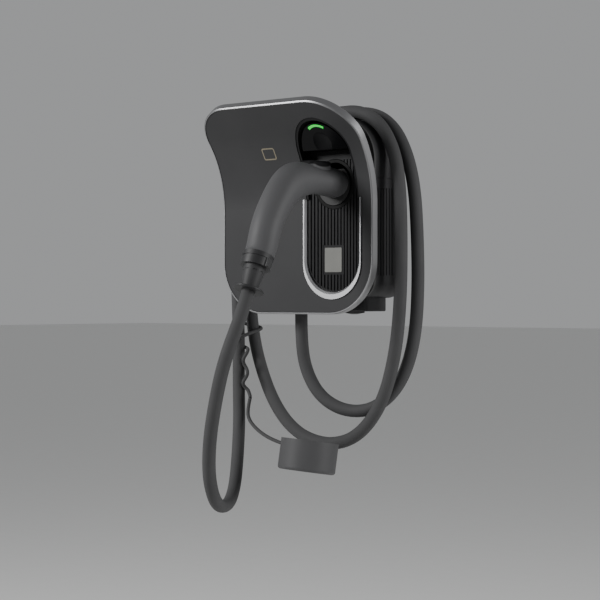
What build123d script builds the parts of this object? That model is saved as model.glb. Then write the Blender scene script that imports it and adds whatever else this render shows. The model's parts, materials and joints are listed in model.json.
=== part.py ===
from build123d import *
from math import cos, sin, tan, radians, degrees, sqrt
import os

os.makedirs("parts", exist_ok=True)

# Frame: +Z up, -Y towards the viewer, origin on the wall at the centre of the wall plate's bolt pattern

# Front panel, a bent slab whose upper part sweeps forward
panel_width = 262.0
panel_low = -150.0
panel_run = 299.0
panel_thick = 12.0
face_y = -84.0
sweep_start = -4.0
sweep_radius = 146.5
sweep_angle = 40.6
low_corner = 72.0
top_left_corner = 56.0
top_right_corner = 68.0

# Metal edge frame that carries the dark face sheet
frame_lip = 2.2
frame_bevel = 1.2
frame_ledge = 6.0
face_sink = 0.6
sheet_back = 9.0
sheet_gap = 0.6
fit = 0.25
seat = 0.3
light_gap = 0.1
screw_gap = 0.3
thread_gap = 0.1
past = 120.0

# Long opening with its U-shaped trim and the ribbed insert
opening_inset = 67.5
opening_half = 49.0
opening_low = -130.0
arch_spring = 64.0
arch_rise = 49.0
rim_width = 4.5
rim_low_width = 9.4
rim_top = 5.0
rim_proud = 1.2
rim_bevel = 2.6
insert_front = 7.0
insert_plate = 3.0
insert_wall = 3.0
insert_sink = 1.5
strip_gap = 0.8
strip_top = 58.0
strip_rise = 3.4
strip_dish = 2.4
rib_pitch = 5.5
rib_groove = 2.6
rib_depth = 1.5
strip_border = 1.6
clip_width = 20.0
clip_heights = (-70.0, -20.0)

# Hood over the plug, with the light bar at its upper edge
hood_inset = 6.5
hood_rise = 5.0
hood_sphere = 44.0
hood_sphere_y = -139.0
hood_sphere_rise = -9.0
hood_sink = 4.0
light_rise = 35.0
light_width = 25.0
light_height = 2.6
light_arch = 24.0
light_length = 12.0
light_board_wide = 20.0
light_board_high = 7.0
light_board_drop = 4.0
light_proud = 0.8

# Label and reader mark, both plain
label_shift = -2.0
label_z = -77.0
label_width = 28.4
label_height = 32.7
label_thick = 0.8
label_frame = 3.4
reader_x = -31.0
reader_z = 68.0
reader_width = 22.0
reader_height = 15.5
reader_corner = 3.0
reader_line = 1.6
reader_thick = 0.8
reader_proud = 0.1
reader_gap = 0.05

# Rear housing, its cover and the wall plate
housing_half = 125.0
housing_low = -128.0
housing_top = 114.0
housing_corner = 60.0
housing_low_corner = 24.0
housing_wall = 3.0
housing_back = -6.0
housing_round = 4.0
cover_thick = 3.0
gasket_thick = 1.5
gasket_width = 4.0
side_groove_z = 31.0
side_groove = 1.2
vent_pitch = 6.3
vent_slot = 2.1
vent_depth = 0.9
vent_low = -98.0
vent_high = 18.0
plate_half_x = 100.0
plate_low = -95.0
plate_high = 95.0
plate_sheet = 2.0
plate_corner = 12.0
plate_pad = 8.0
bolt_x = 160.0
bolt_z = 150.0
bolt_hole = 7.0
hang_screw_x = 60.0
hang_screw_z = 62.0
hang_screw = 5.0
screw_head = 9.0
screw_head_high = 3.0
screw_round = 0.8
post_radius = 5.5
post_inset_x = 14.0
post_inset_low = 34.0
post_inset_high = 54.0
cover_screw = 4.0
cover_screw_long = 22.0

# Holster cup behind the insert
cup_bore = 28.5
cup_wall = 3.0
cup_depth = 42.0
cup_flange = 33.5
cup_flange_thick = 2.0
cup_lip = 0.6
cup_cover_gap = 0.5

# Supply box and glands under the housing
supply_left = 28.0
supply_right = 104.0
supply_high = 18.0
supply_front = -62.0
supply_back = -14.0
supply_wall = 2.5
supply_corner = 6.0
supply_round = 2.0
supply_way_x = 40.0
supply_way_y = 24.0
grommet_x = 66.0
grommet_radius = 12.0
grommet_lip = 2.0
grommet_tip = 4.0
gland_part = -0.208
gland_y = -39.0
gland_flat = 30.0
gland_hex_high = 7.0
gland_dome = 13.0
gland_dome_high = 7.0
gland_seal = 1.0
gland_long = 22.0
gland_nut_high = 5.0
gland_nut_flat = 32.0
gland_thread = 12.5

# Plug in the holster: centre line of the body in the plane of the opening, as (y, z)
nose_z = 23.0
nose_radius = 27.0
nose_wall = 2.6
nose_length = 36.0
nose_flat = 21.0
carrier_radius = 21.5
carrier_length = 30.0
pin_circle = 13.5
pin_radius = 3.0
pilot_radius = 1.6
pin_length = 24.0
plug_line = (
    (-80.0, 24.5), (-112.0, 26.0), (-143.0, 27.0), (-170.0, 21.0),
    (-191.0, 4.0), (-208.0, -18.0), (-222.0, -46.0), (-234.0, -74.0),
)
plug_wide = (24.5, 22.0, 21.5, 21.0, 20.8, 20.5, 20.0, 19.5)
plug_deep = (18.5, 17.5, 21.5, 24.5, 22.6, 20.6, 20.0, 19.5)
collar_long = 17.0
collar_radius = 20.2
collar_taper = 1.2
collar_groove = 0.7
tab_wide = 9.0
tab_proud = 3.5
tab_long = 11.0
boot_long = 30.0
boot_big = 14.5
boot_small = 10.4
boot_slot = 2.0
disc_radius = 19.5
disc_thick = 2.6
hump_wide = 25.0
hump_high = 12.0
hump_long = 46.0
hump_corner = 8.0
hump_seat = 3.0
hump_y = -118.0
hump_round = 3.5

# Charging cable, one length from the gland to the plug's boot. Its points are given as parts of a hundred
# of the housing's half width, a depth, and parts of a hundred of the housing's top or low edge height.
cable_diameter = 17.4
cable_straight = 32.0
gland_straight = 38.0
cable_route = [
    (-15.2, -38.0, -178.1), (3.2, -36.0, -205.9), (32.8, -32.5, -220.3), (66.4, -28.5, -219.9),
    (95.2, -25.5, -202.7), (114.4, -23.0, -174.6), (125.2, -22.0, -135.2), (128.0, -21.3, -85.9),
    (126.8, -21.3, -34.4), (123.6, -21.3, 14.0), (114.0, -21.3, 56.1), (95.6, -21.3, 91.2),
    (67.2, -21.3, 108.7), (32.0, -21.3, 108.2), (-32.0, -21.3, 108.2), (-67.2, -21.3, 108.7),
    (-95.6, -21.3, 91.2), (-113.6, -21.3, 56.1), (-118.0, -21.3, 14.0), (-113.6, -21.3, -37.5),
    (-108.8, -21.3, -85.9), (-105.6, -21.8, -128.1), (-93.6, -23.5, -171.9), (-67.2, -28.0, -218.8),
    (-32.0, -32.0, -248.4), (16.0, -37.0, -258.6), (60.8, -42.0, -246.9), (96.0, -46.0, -209.4),
    (113.6, -48.0, -157.8), (120.4, -48.6, -104.7), (121.6, -48.6, -45.3), (120.0, -48.6, 14.0),
    (113.6, -48.6, 56.1), (95.6, -48.6, 91.2), (67.2, -48.6, 108.7), (32.0, -48.6, 108.2),
    (-32.0, -48.6, 108.2), (-67.2, -48.6, 108.7), (-95.6, -48.6, 91.2), (-113.6, -48.6, 56.1),
    (-118.0, -48.6, 14.0), (-113.6, -48.6, -37.5), (-108.4, -48.8, -93.8), (-105.6, -50.0, -153.1),
    (-103.6, -53.5, -190.6), (-96.8, -61.5, -234.4), (-85.6, -81.0, -273.4), (-68.0, -112.0, -304.7),
    (-46.4, -156.0, -319.5), (-27.2, -206.0, -314.1), (-8.0, -247.0, -282.8), (8.0, -268.0, -243.0),
    (24.8, -279.0, -200.0), (38.4, -281.0, -160.2),
]

# Thin tether wound round the hanging cable, and the cap on it
tether_diameter = 5.0
wrap_drop = 22.0
wrap_span = 130.0
tether_straight = 17.5
wrap_gap = 0.2
tether_steps = [(13.4, -4.3, -13.5), (37.4, -12.3, -27.5), (68.4, -20.3, -37.5), (92.0, -26.3, -39.5)]
cap_hang = (48.4, -6.0, -14.0)
cap_radius = 39.0
cap_high = 42.0
cap_wall = 2.6
cap_round = 4.0
cap_lean = 2.4
cap_tip = 8.9
lug_long = 14.0
lug_radius = 3.6

# Pieces inside the housing
board_x = 176.0
board_z = 150.0
board_thick = 1.6
board_mid_z = -22.0
standoff_high = 8.0
standoff_radius = 3.5
board_screw = 3.0
board_corner = 4.0
board_edge = 8.0
contactor_size = (54.0, 62.0, 34.0)
contactor_head = (40.0, 50.0, 6.0)
contactor_inset = 9.0
contactor_rise = 12.0
terminal_size = (70.0, 24.0, 22.0)
terminal_inset = 13.0
terminal_up = 7.0
terminal_ways = 5
terminal_pitch = 13.5
terminal_hole = 3.6
terminal_hole_deep = 8.0
sensor_x = -40.0
sensor_up = 25.0
sensor_radius = 17.0
sensor_bore = 9.0
sensor_high = 14.0
converter_size = (46.0, 34.0, 20.0)
converter_inset = 17.0
converter_drop = 8.0
coil_x = 56.0
coil_z = 50.0
coil_band = 8.0
coil_thick = 2.0
coil_shift_x = -10.0
coil_shift_z = -12.0

# Derived places
half = panel_width / 2
opening_x = half - opening_inset
opening_reach = opening_half - rim_width
slab_back = face_y + panel_thick
cover_back = slab_back + cover_thick
housing_front = cover_back + gasket_thick
bend_y = face_y - sweep_radius
bend = radians(sweep_angle)
straight_run = panel_run - (sweep_start - panel_low) - sweep_radius * bend
cable_radius = cable_diameter / 2
tether_radius = tether_diameter / 2
insert_y = face_y + insert_front
nose_start = plug_line[0][0]
cup_z = nose_z + cup_bore - nose_radius - seat
hood_ledge = arch_spring + hood_rise
light_z = arch_spring + light_rise
label_x = opening_x + label_shift
gland_x = gland_part * housing_half
wrap_start = housing_low - wrap_drop
wrap_end = wrap_start - wrap_span


def side_outline(front, back, low, top):
    """Side view of the bent slab between two depths behind its face, with its two ends cut back."""
    with BuildLine() as line:
        front_up = Line((face_y + front, panel_low + low), (face_y + front, sweep_start))
        front_bend = JernArc(front_up @ 1, (0, 1), sweep_radius + front, sweep_angle)
        front_top = PolarLine(front_bend @ 1, straight_run - top, direction=front_bend % 1)
        back_up = Line((face_y + back, panel_low + low), (face_y + back, sweep_start))
        back_bend = JernArc(back_up @ 1, (0, 1), sweep_radius + back, sweep_angle)
        back_top = PolarLine(back_bend @ 1, straight_run - top, direction=back_bend % 1)
        Line(front_top @ 1, back_top @ 1)
        Line(front_up @ 0, back_up @ 0)
    return line.line


def bent_strip(inset, front, back):
    """Square-cornered slab that follows the panel's bend, between two depths behind its face."""
    with BuildPart() as strip:
        with BuildSketch(Plane.YZ):
            add(make_face(side_outline(front, back, inset, inset).edges(), mode=Mode.PRIVATE))
        extrude(amount=half - inset, both=True)
    return strip.part


def bent_slab(inset, front, back):
    """Bent slab with its four corners rounded, smaller than the panel by an inset all round."""
    with BuildPart() as slab:
        add(bent_strip(inset, front, back))
        corners = slab.edges().filter_by(lambda edge: abs(edge.length - (back - front)) < 0.001)
        top = corners.group_by(Axis.Z)[-1].sort_by(Axis.X)
        fillet(corners.group_by(Axis.Z)[0], low_corner - inset)
        fillet(top[0], top_left_corner - inset)
        top = slab.edges().filter_by(lambda edge: abs(edge.length - (back - front)) < 0.001)
        fillet(top.group_by(Axis.Z)[-1].sort_by(Axis.X)[-1], top_right_corner - inset)
    return slab.part


def behind_face(depth):
    """Everything behind a surface that lies a given depth behind the bent face."""
    with BuildPart() as space:
        with BuildSketch(Plane.YZ):
            with BuildLine():
                up = Line((face_y + depth, panel_low), (face_y + depth, sweep_start))
                arc = JernArc(up @ 1, (0, 1), sweep_radius + depth, sweep_angle)
                top = PolarLine(arc @ 1, straight_run, direction=arc % 1)
                Polyline(top @ 1, (0, (top @ 1).Y), (0, panel_low), up @ 0)
            make_face()
        extrude(amount=half, both=True)
    return space.part


def arch_outline(shrink, low_shrink, low=None):
    """Long opening seen from the front: half round below, straight sides and a low arch on top."""
    reach = opening_half - shrink
    spring_low = opening_low + low_shrink + reach
    with BuildLine() as line:
        if low is None:
            CenterArc((opening_x, spring_low), reach, 180, 180)
            start = spring_low
        else:
            Line((opening_x - reach, low), (opening_x + reach, low))
            start = low
        Line((opening_x - reach, start), (opening_x - reach, arch_spring))
        Line((opening_x + reach, start), (opening_x + reach, arch_spring))
        EllipticalCenterArc((opening_x, arch_spring), reach, arch_rise - shrink, start_angle=0, arc_size=180)
    return make_face(line.line.edges(), mode=Mode.PRIVATE)


def opening_outline(shrink):
    """Hole in the face sheet: the rim's outer line below the rim's ends and its inner line above them."""
    with BuildSketch(mode=Mode.PRIVATE) as outline:
        add(arch_outline(shrink, shrink))
        with Locations((opening_x, rim_top - shrink)):
            Rectangle(panel_width, panel_width, align=(Align.CENTER, Align.MIN), mode=Mode.SUBTRACT)
        add(arch_outline(rim_width + shrink, rim_low_width + shrink))
    return outline.sketch


def strip_outline(shrink):
    """Ribbed area inside the rim, up to a level edge behind the plug."""
    with BuildSketch(mode=Mode.PRIVATE) as outline:
        add(arch_outline(rim_width + strip_gap + shrink, rim_low_width + strip_gap + shrink))
        with Locations((opening_x, strip_top - shrink)):
            Rectangle(panel_width, panel_width, align=(Align.CENTER, Align.MIN), mode=Mode.SUBTRACT)
    return outline.sketch


# Seen from the front: local x is the object's X and local y is its Z
def front_plane(y):
    return Plane(origin=(0, y, 0), x_dir=(1, 0, 0), z_dir=(0, -1, 0))


slab_outer = bent_slab(0, 0, panel_thick)

# Metal frame round the panel, with the bevel that catches the light
with BuildPart() as edge_frame:
    add(slab_outer)
    front_faces = edge_frame.faces().filter_by(lambda face: face.normal_at().Y < -0.6)
    front_edges = [edge for face in front_faces for edge in face.edges()]
    chamfer([edge for edge in front_edges if sum(edge.is_same(e) for e in front_edges) == 1], frame_bevel)
    add(bent_slab(frame_lip, -1, sheet_back), mode=Mode.SUBTRACT)
    add(bent_slab(frame_lip + frame_ledge, sheet_back - 1, panel_thick + 1), mode=Mode.SUBTRACT)


def reader_outline(grow):
    """Thin rounded frame of the reader mark, widened on both its edges."""
    with BuildSketch(mode=Mode.PRIVATE) as outline:
        RectangleRounded(reader_width + 2 * grow, reader_height + 2 * grow, reader_corner + grow)
        inner = reader_line + grow
        RectangleRounded(reader_width - 2 * inner, reader_height - 2 * inner,
                         reader_corner - inner, mode=Mode.SUBTRACT)
    return outline.sketch


# Reader mark: a thin rounded outline let into the bent face
mark_depth = face_sink - reader_proud
with BuildPart() as reader_mark:
    with BuildSketch(front_plane(face_y + panel_thick)):
        with Locations((reader_x, reader_z)):
            add(reader_outline(0))
    extrude(amount=past)
    add(bent_strip(frame_lip, mark_depth, mark_depth + reader_thick), mode=Mode.INTERSECT)

# Dark face sheet with the long opening and a pocket for the reader mark
with BuildPart() as front_panel:
    add(bent_slab(frame_lip + sheet_gap, face_sink, sheet_back))
    with BuildSketch(front_plane(face_y + panel_thick)):
        add(opening_outline(0))
    extrude(amount=past, mode=Mode.SUBTRACT)
    with BuildSketch(front_plane(face_y + panel_thick)):
        with Locations((reader_x, reader_z)):
            add(reader_outline(reader_gap))
    reader_cut = extrude(amount=past, mode=Mode.PRIVATE)
    add(reader_cut & bent_strip(frame_lip, 0, mark_depth + reader_thick), mode=Mode.SUBTRACT)

# U-shaped bright trim round the lower part of the opening, bevelled towards the inside
with BuildPart() as recess_rim:
    with BuildSketch(front_plane(insert_y)):
        add(arch_outline(fit, fit))
        add(arch_outline(rim_width, rim_low_width), mode=Mode.SUBTRACT)
        with Locations((opening_x, rim_top)):
            Rectangle(panel_width, panel_width, align=(Align.CENTER, Align.MIN), mode=Mode.SUBTRACT)
    extrude(amount=insert_front + rim_proud)
    with BuildSketch(front_plane(face_y - rim_proud)):
        add(arch_outline(rim_width - rim_bevel, rim_low_width - rim_bevel))
    extrude(amount=-rim_bevel, taper=45, mode=Mode.SUBTRACT)

# Grooves between the ribs, each cut down from the dished surface
strip_half = opening_reach - strip_gap
strip_low = opening_low + rim_low_width + strip_gap
strip_face = insert_y - strip_rise
dish_radius = (strip_half ** 2 + strip_dish ** 2) / (2 * strip_dish)
rib_count = int((strip_half - strip_border) / rib_pitch)
with BuildPart() as rib_grooves:
    with BuildSketch(Plane.XY.offset(strip_low)):
        for rib in range(-rib_count, rib_count + 1):
            shift = rib * rib_pitch
            floor = strip_face + strip_dish - shift ** 2 / (2 * dish_radius)
            with Locations((opening_x + shift, floor)):
                Rectangle(rib_groove, 2 * rib_depth)
    extrude(amount=strip_top - strip_low)
    with BuildSketch(front_plane(insert_y + insert_plate)):
        add(strip_outline(strip_border))
    extrude(amount=past, mode=Mode.INTERSECT)

# Ribbed insert: back plate, dished ribbed strip with its border, and side walls up to the bent face
with BuildPart() as ribbed_insert:
    with BuildSketch(front_plane(insert_y + insert_plate)):
        add(opening_outline(fit))
    extrude(amount=insert_plate)
    with BuildSketch(front_plane(insert_y)):
        add(strip_outline(0))
    extrude(amount=strip_rise)
    with BuildSketch(Plane.XY.offset(strip_low - 1)):
        with Locations((opening_x, strip_face + strip_dish - dish_radius)):
            Circle(dish_radius)
    extrude(amount=strip_top - strip_low + 2, mode=Mode.SUBTRACT)
    add(rib_grooves.part, mode=Mode.SUBTRACT)
    with BuildSketch(front_plane(insert_y)):
        add(arch_outline(rim_width + fit, fit, rim_top + fit))
        add(arch_outline(rim_width + fit + insert_wall, fit, rim_top + fit), mode=Mode.SUBTRACT)
    walls = extrude(amount=past, mode=Mode.PRIVATE)
    add(walls & behind_face(insert_sink))
    for side in (-1, 1):
        for height in clip_heights:
            with BuildSketch(front_plane(slab_back)):
                with Locations((opening_x + side * (opening_half - fit - insert_wall / 2), height)):
                    Rectangle(insert_wall, clip_width)
            extrude(amount=slab_back - insert_y - insert_plate / 2)
    with BuildSketch(front_plane(slab_back)):
        with Locations((opening_x, cup_z)):
            Circle(cup_bore + cup_wall + fit)
    extrude(amount=past, mode=Mode.SUBTRACT)
    with BuildSketch(front_plane(insert_y)):
        with Locations((opening_x, cup_z)):
            Circle(cup_flange + fit)
    extrude(amount=strip_rise, mode=Mode.SUBTRACT)
    with BuildSketch(front_plane(insert_y)):
        with Locations((label_x, label_z)):
            Rectangle(label_width + 2 * label_frame, label_height + 2 * label_frame)
    extrude(amount=strip_rise, mode=Mode.SUBTRACT)
    with BuildSketch(front_plane(insert_y)):
        with Locations((label_x, label_z)):
            Rectangle(label_width + 2 * label_frame, label_height + 2 * label_frame)
    extrude(amount=strip_rise - strip_dish)

# Plain pale label on its raised field
with BuildPart() as label_plate:
    with BuildSketch(front_plane(insert_y - strip_rise + strip_dish)):
        with Locations((label_x, label_z)):
            RectangleRounded(label_width, label_height, 1.5)
    extrude(amount=label_thick)

# Dark hood in the arch, hollowed by a sphere, with the slot for the light bar
with BuildPart() as light_hood:
    with BuildSketch(front_plane(insert_y)):
        add(arch_outline(rim_width + hood_inset, fit, rim_top))
        with Locations((opening_x, hood_ledge)):
            Rectangle(panel_width, panel_width, align=(Align.CENTER, Align.MAX), mode=Mode.SUBTRACT)
    extrude(amount=past)
    add(behind_face(hood_sink), mode=Mode.INTERSECT)
    with Locations((opening_x, hood_sphere_y, arch_spring + hood_sphere_rise)):
        Sphere(hood_sphere, mode=Mode.SUBTRACT)


def light_outline(grow):
    """Flat arch of the light bar seen from the front."""
    outer = light_arch + light_height / 2 + grow
    inner = light_arch - light_height / 2 - grow
    swing = degrees((light_width / 2 + grow) / light_arch)
    centre = (opening_x, light_z - light_arch)
    with BuildLine() as line:
        top = CenterArc(centre, outer, 90 - swing, 2 * swing)
        low = CenterArc(centre, inner, 90 - swing, 2 * swing)
        Line(top @ 0, low @ 0)
        Line(top @ 1, low @ 1)
    return make_face(line.line.edges(), mode=Mode.PRIVATE)


# Depth of the bent face at the light bar's height
light_turn = min((light_z - sweep_start) / sweep_radius, sin(bend))
light_y = face_y - sweep_radius * (1 - sqrt(1 - light_turn ** 2)) - max(
    0, light_z - sweep_start - sweep_radius * sin(bend)) * tan(bend)

with BuildPart() as light_bar:
    with BuildSketch(front_plane(light_y + light_length)):
        add(light_outline(0))
    extrude(amount=past)
    add(behind_face(hood_sink - light_proud), mode=Mode.INTERSECT)

with BuildPart() as hood_cut:
    with BuildSketch(front_plane(light_y + light_length)):
        add(light_outline(light_gap))
    extrude(amount=past)
light_hood.part = light_hood.part - hood_cut.part

# Cup that holds the plug's nose
with BuildPart() as holster_cup:
    with BuildSketch(front_plane(insert_y)):
        with Locations((opening_x, cup_z)):
            Circle(cup_flange)
            Circle(cup_bore, mode=Mode.SUBTRACT)
    extrude(amount=cup_flange_thick)
    with BuildSketch(front_plane(insert_y + cup_depth)):
        with Locations((opening_x, cup_z)):
            Circle(cup_bore + cup_wall)
    extrude(amount=cup_depth)
    with BuildSketch(front_plane(insert_y + cup_depth - cup_wall)):
        with Locations((opening_x, cup_z)):
            Circle(cup_bore)
    extrude(amount=past, mode=Mode.SUBTRACT)
    lip = holster_cup.edges().filter_by(GeomType.CIRCLE).group_by(Axis.Y)[0]
    chamfer(lip, cup_lip)


def housing_outline(inset):
    """Front view of the housing: well rounded on top, where the cable hangs, and tighter below."""
    with BuildSketch(mode=Mode.PRIVATE) as outline:
        with Locations((0, (housing_low + housing_top) / 2)):
            Rectangle(2 * (housing_half - inset), housing_top - housing_low - 2 * inset)
        upper = outline.vertices().group_by(Axis.Y)[-1]
        fillet(upper, housing_corner - inset)
        lower = outline.vertices().group_by(Axis.Y)[0].sort_by(Axis.X)
        fillet([lower[0], lower[-1]], housing_low_corner - inset)
    return outline.sketch


post_x = housing_half - post_inset_x
side_y = (housing_back - housing_round + housing_front) / 2
side_flat = housing_back - housing_round - housing_front
supply_y = (supply_front + supply_back) / 2
post_heights = (housing_low + post_inset_low, housing_top - post_inset_high)
posts = [(side * post_x, z) for side in (-1, 1) for z in post_heights]
hang_points = [(side * hang_screw_x, z) for side in (-1, 1) for z in (-hang_screw_z, hang_screw_z)]

# Rear housing: a tub open to the front, with screw posts, cable hole, side groove and side ribs
with BuildPart() as rear_housing:
    with BuildSketch(front_plane(housing_back)):
        add(housing_outline(0))
    extrude(amount=housing_back - housing_front)
    back_loop = rear_housing.faces().sort_by(Axis.Y)[-1].edges()
    fillet(back_loop, housing_round)
    with BuildSketch(front_plane(housing_back - housing_wall)):
        add(housing_outline(housing_wall))
    extrude(amount=housing_back - housing_front, mode=Mode.SUBTRACT)
    with BuildSketch(front_plane(housing_back - housing_wall)):
        with Locations(*posts):
            Circle(post_radius)
    extrude(amount=housing_back - housing_wall - housing_front)
    with BuildSketch(front_plane(housing_back - housing_wall)):
        with Locations(*posts):
            Circle(cover_screw / 2 + thread_gap)
    extrude(amount=past, mode=Mode.SUBTRACT)
    with BuildSketch(front_plane(0)):
        with Locations(*hang_points):
            Circle(hang_screw / 2 + screw_gap)
    extrude(amount=housing_wall - housing_back, mode=Mode.SUBTRACT)
    with BuildSketch(Plane.XY.offset(housing_low)):
        with Locations((gland_x, gland_y)):
            Circle(gland_thread + thread_gap)
        with Locations((grommet_x, supply_y)):
            Rectangle(supply_way_x, supply_way_y)
    extrude(amount=housing_wall, mode=Mode.SUBTRACT)
    for side in (-1, 1):
        with BuildSketch(Plane.YZ.offset(side * housing_half)):
            with Locations((side_y, side_groove_z)):
                Rectangle(side_flat, side_groove)
            with Locations((side_y, (vent_low + vent_high) / 2)):
                with GridLocations(vent_pitch, 1, int(side_flat / vent_pitch), 1):
                    Rectangle(vent_slot, vent_high - vent_low)
        extrude(amount=-side * vent_depth, mode=Mode.SUBTRACT)

# Cover that closes the housing behind the front panel
with BuildPart() as inner_cover:
    with BuildSketch(front_plane(cover_back)):
        add(housing_outline(0))
    extrude(amount=cover_thick)
    with BuildSketch(front_plane(cover_back)):
        with Locations(*posts):
            Circle(cover_screw / 2 + screw_gap)
        with Locations((opening_x, cup_z)):
            Circle(cup_bore + cup_wall + cup_cover_gap)
    extrude(amount=cover_thick, mode=Mode.SUBTRACT)

# Rubber gasket between the cover and the housing
with BuildPart() as cover_gasket:
    with BuildSketch(front_plane(housing_front)):
        add(housing_outline(0))
        add(housing_outline(gasket_width), mode=Mode.SUBTRACT)
    extrude(amount=gasket_thick)

# Cover screws, driven from the front into the posts before the panel goes on
with BuildPart() as cover_screws:
    with BuildSketch(front_plane(slab_back + seat)):
        with Locations(*posts):
            Circle(cover_screw / 2)
    extrude(amount=-cover_screw_long)

# Wall plate: pressed sheet with a folded edge, four wall holes and raised pads for the housing
with BuildPart() as wall_plate:
    with BuildSketch(front_plane(0)):
        with Locations((0, (plate_low + plate_high) / 2)):
            RectangleRounded(2 * plate_half_x, plate_high - plate_low, plate_corner)
    extrude(amount=-housing_back)
    with BuildSketch(front_plane(-plate_sheet)):
        with Locations((0, (plate_low + plate_high) / 2)):
            RectangleRounded(2 * (plate_half_x - plate_sheet), plate_high - plate_low - 2 * plate_sheet,
                             plate_corner - plate_sheet)
    extrude(amount=-housing_back, mode=Mode.SUBTRACT)
    with BuildSketch(front_plane(-plate_sheet)):
        with Locations(*hang_points):
            Circle(plate_pad)
    extrude(amount=-housing_back - plate_sheet)
    with BuildSketch(front_plane(0)):
        with GridLocations(bolt_x, bolt_z, 2, 2):
            Circle(bolt_hole / 2)
        with Locations(*hang_points):
            Circle(hang_screw / 2 + thread_gap)
    extrude(amount=-housing_back, mode=Mode.SUBTRACT)

# Screws that hold the housing on the wall plate, with their heads inside the housing
with BuildPart() as hanging_screws:
    with BuildSketch(front_plane(-seat)):
        with Locations(*hang_points):
            Circle(hang_screw / 2)
    extrude(amount=housing_wall - housing_back - seat)
    with BuildSketch(front_plane(housing_back - housing_wall)):
        with Locations(*hang_points):
            Circle(screw_head / 2)
    extrude(amount=screw_head_high)
    fillet(hanging_screws.faces().sort_by(Axis.Y)[:4].edges(), screw_round)

# Supply box under the housing, open upwards, with its rubber grommet
supply_low = housing_low - supply_high
supply_x = (supply_left + supply_right) / 2
with BuildPart() as supply_box:
    with BuildSketch(Plane.XY.offset(supply_low)):
        with Locations((supply_x, supply_y)):
            RectangleRounded(supply_right - supply_left, supply_back - supply_front, supply_corner)
    extrude(amount=supply_high)
    fillet(supply_box.faces().sort_by(Axis.Z)[0].edges(), supply_round)
    with BuildSketch(Plane.XY.offset(supply_low + supply_wall)):
        with Locations((supply_x, supply_y)):
            RectangleRounded(supply_right - supply_left - 2 * supply_wall,
                             supply_back - supply_front - 2 * supply_wall, supply_corner - supply_wall)
    extrude(amount=supply_high, mode=Mode.SUBTRACT)
    with BuildSketch(Plane.XY.offset(supply_low)):
        with Locations((grommet_x, supply_y)):
            Circle(grommet_radius)
    extrude(amount=supply_wall, mode=Mode.SUBTRACT)

inner_floor = supply_low + supply_wall
lip_x = grommet_x + grommet_radius + grommet_lip
with BuildPart() as supply_grommet:
    with BuildSketch(Plane.XZ.offset(-supply_y)):
        with BuildLine():
            Polyline(
                (grommet_x, inner_floor + grommet_lip), (lip_x, inner_floor + grommet_lip),
                (lip_x, inner_floor), (grommet_x + grommet_radius, inner_floor),
                (grommet_x + grommet_radius, supply_low),
                (lip_x, supply_low), (lip_x, supply_low - grommet_lip),
                (grommet_x + grommet_tip, supply_low - 2 * grommet_lip),
                (grommet_x, supply_low - 2 * grommet_lip), close=True,
            )
        make_face()
    revolve(axis=Axis((grommet_x, supply_y, 0), (0, 0, 1)))

# Cable gland: hexagon under the housing, round dome nut and rubber tail, and its lock nut inside
with BuildPart() as cable_gland:
    with BuildSketch(Plane.XY.offset(housing_low - gland_hex_high)):
        with Locations((gland_x, gland_y)):
            RegularPolygon(gland_flat / 2, 6, major_radius=False)
    extrude(amount=gland_hex_high)
    with BuildSketch(Plane.XY.offset(housing_low)):
        with Locations((gland_x, gland_y)):
            Circle(gland_thread)
    extrude(amount=housing_wall + gland_nut_high)
    with BuildSketch(Plane.XZ.offset(-gland_y)):
        with BuildLine():
            Polyline(
                (gland_x, housing_low - gland_hex_high), (gland_x + gland_dome, housing_low - gland_hex_high),
                (gland_x + gland_dome, housing_low - gland_hex_high - gland_dome_high),
                (gland_x + cable_radius + gland_seal, housing_low - gland_long),
                (gland_x, housing_low - gland_long), close=True,
            )
        make_face()
    revolve(axis=Axis((gland_x, gland_y, 0), (0, 0, 1)))

with BuildPart() as gland_nut:
    with BuildSketch(Plane.XY.offset(housing_low + housing_wall)):
        with Locations((gland_x, gland_y)):
            RegularPolygon(gland_nut_flat / 2, 6, major_radius=False)
            Circle(gland_thread + thread_gap, mode=Mode.SUBTRACT)
    extrude(amount=gland_nut_high)

# Control board on its standoffs, with the parts that switch and measure the current
board_back = housing_back - housing_wall - standoff_high
board_front = board_back - board_thick
standoff_x = board_x / 2 - board_edge
standoff_z = board_z / 2 - board_edge
board_points = [(sx * standoff_x, board_mid_z + sz * standoff_z) for sx in (-1, 1) for sz in (-1, 1)]
with BuildPart() as main_board:
    with BuildSketch(front_plane(board_back)):
        with Locations((0, board_mid_z)):
            RectangleRounded(board_x, board_z, board_corner)
        with Locations(*board_points):
            Circle(board_screw / 2 + 0.2, mode=Mode.SUBTRACT)
    extrude(amount=board_thick)

with BuildPart() as board_standoffs:
    with BuildSketch(front_plane(housing_back - housing_wall)):
        with Locations(*board_points):
            Circle(standoff_radius)
    extrude(amount=standoff_high)
    with BuildSketch(front_plane(board_back)):
        with Locations(*board_points):
            Circle(board_screw / 2)
    extrude(amount=board_thick)
    with BuildSketch(front_plane(board_front)):
        with Locations(*board_points):
            Circle(board_screw)
    extrude(amount=2)

contactor_spot = (contactor_inset + contactor_size[0] / 2 - board_x / 2, board_mid_z + contactor_rise)
with BuildPart() as contactor:
    with BuildSketch(front_plane(board_front)):
        with Locations(contactor_spot):
            RectangleRounded(contactor_size[0], contactor_size[1], 2)
    extrude(amount=contactor_size[2])
    with BuildSketch(front_plane(board_front - contactor_size[2])):
        with Locations(contactor_spot):
            RectangleRounded(contactor_head[0], contactor_head[1], 2)
    extrude(amount=contactor_head[2])
    chamfer(contactor.faces().sort_by(Axis.Y)[0].edges(), 1)

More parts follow.
